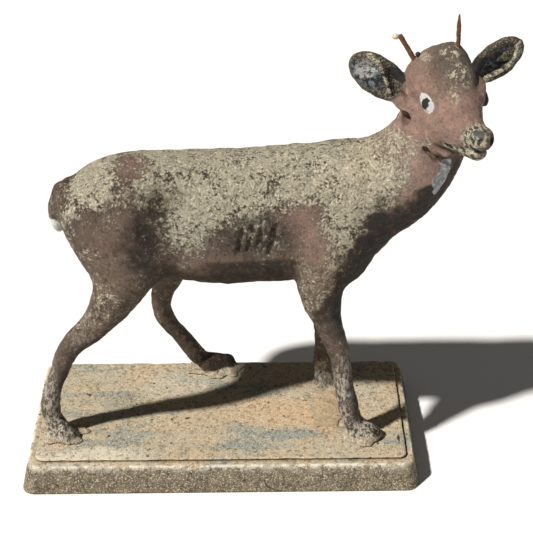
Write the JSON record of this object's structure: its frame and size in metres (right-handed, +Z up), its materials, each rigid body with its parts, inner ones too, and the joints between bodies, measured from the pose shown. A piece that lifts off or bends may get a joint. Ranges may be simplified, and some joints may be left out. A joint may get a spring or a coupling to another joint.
{
  "type": "garden statue",
  "caption": "Standing deer garden statue in cast concrete, head turned over its right shoulder, bare iron antler rods, on a stepped rectangular plinth.",
  "frame": {"origin": "middle of the plinth's flat underside", "axes": "+Z up; +X the way the body faces, along the plinth's length; +Y the animal's left side"},
  "size_m": [0.762, 0.3, 0.7489],
  "materials": {
    "plinth_concrete": "rough weathered concrete, sandy beige with grey-green growth",
    "painted_concrete": "worn mauve-brown paint over beige concrete, heavily mottled",
    "rusted_iron": "rough rust",
    "bare_concrete": "rough pale broken concrete"
  },
  "bodies": {
    "root": {"plinth": "plinth_concrete", "deer_figure": "painted_concrete", "antler_rod_right": "rusted_iron", "antler_rod_left": "rusted_iron", "rod_stub_right": "rusted_iron", "antler_remnant_right": "bare_concrete"}
  },
  "joints": []
}
